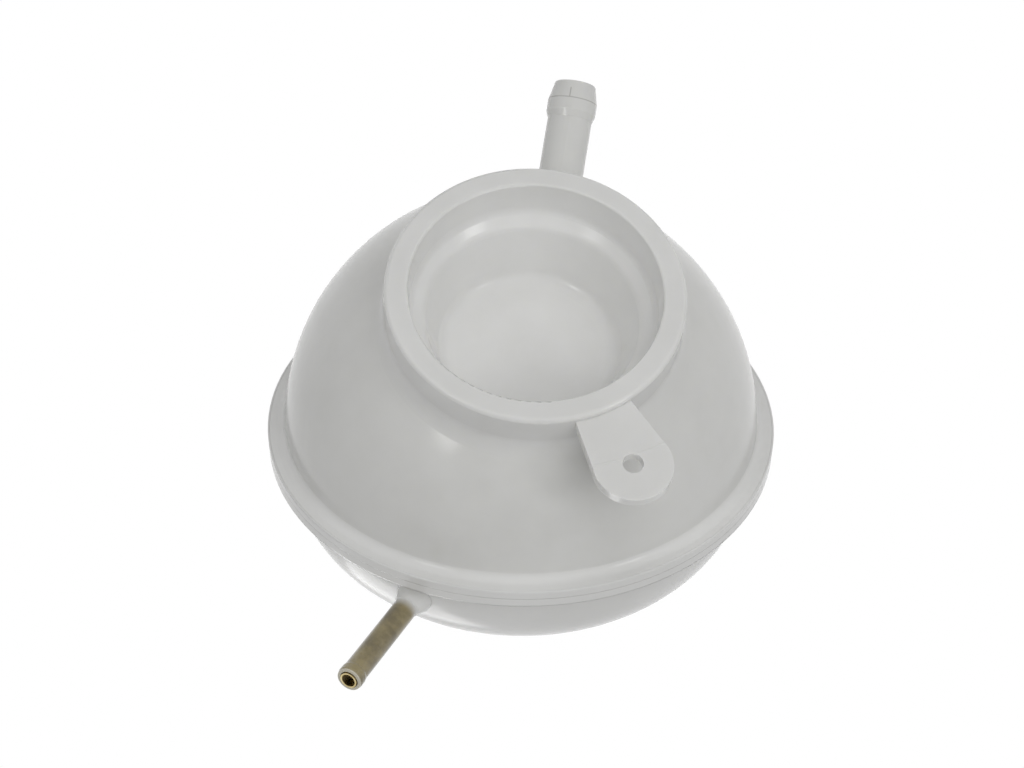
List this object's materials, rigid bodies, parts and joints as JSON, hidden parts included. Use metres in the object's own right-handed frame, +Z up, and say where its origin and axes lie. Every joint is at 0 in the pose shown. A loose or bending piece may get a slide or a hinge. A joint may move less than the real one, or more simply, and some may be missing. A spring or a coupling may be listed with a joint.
{
  "type": "coolant expansion tank",
  "caption": "Ball-shaped coolant expansion tank of two welded plastic half shells, with a dished foot ring, a fixing lug, a hose nozzle, a thin bleed nozzle and a filler neck.",
  "frame": {"origin": "centre of the foot ring, on the flat face that the tank stands on", "axes": "+Z up, square to the foot face, as the tank stands in use with its filler neck on top; the weld plane and the filler neck lean towards -Y, and the feed nozzle leaves towards +Y"},
  "size_m": [0.18, 0.219, 0.17],
  "materials": {
    "natural_plastic": "natural white translucent polypropylene, satin as moulded",
    "brass": "plain drawn tube, dull"
  },
  "bodies": {
    "root": {"lower_shell": "natural_plastic", "upper_shell": "natural_plastic", "bleed_tube": "brass"}
  },
  "joints": []
}
